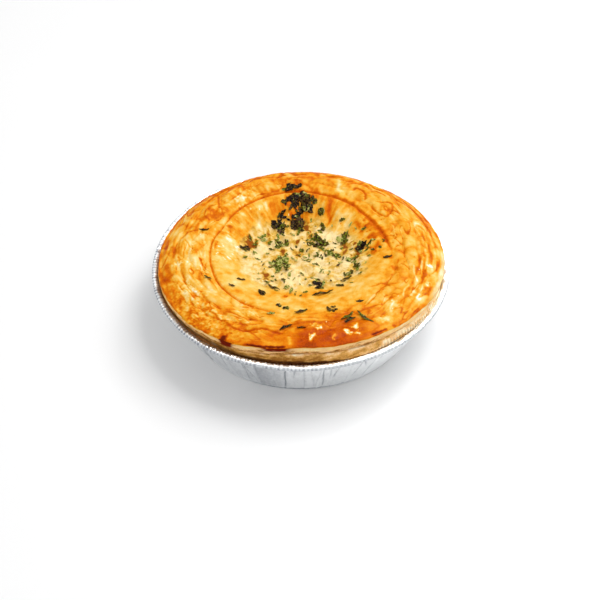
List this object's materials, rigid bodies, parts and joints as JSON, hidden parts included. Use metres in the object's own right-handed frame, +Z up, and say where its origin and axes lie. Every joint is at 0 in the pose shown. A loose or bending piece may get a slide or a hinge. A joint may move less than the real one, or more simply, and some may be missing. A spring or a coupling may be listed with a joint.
{
  "type": "chicken pot pie",
  "caption": "Round baked pie in a pleated foil tin, with a golden lid that is puffed at the edge, sunken in the middle and strewn with herb flakes.",
  "frame": {"origin": "middle of the tin's flat base, on the surface that the tin stands on", "axes": "+Z is up; -Y is the front, where the lid stands highest over the tin's rim; +X is to the right as seen from the front"},
  "size_m": [0.14, 0.14, 0.0403],
  "materials": {
    "foil": "bright foil, finely creased",
    "base_crust": "matte pale baked pastry",
    "lid_crust": "golden baked pastry, glossy egg wash",
    "herbs": "dried green herb, matte"
  },
  "bodies": {
    "root": {"foil_tin": "foil", "pastry_base": "base_crust", "pastry_lid": "lid_crust"}
  },
  "joints": []
}
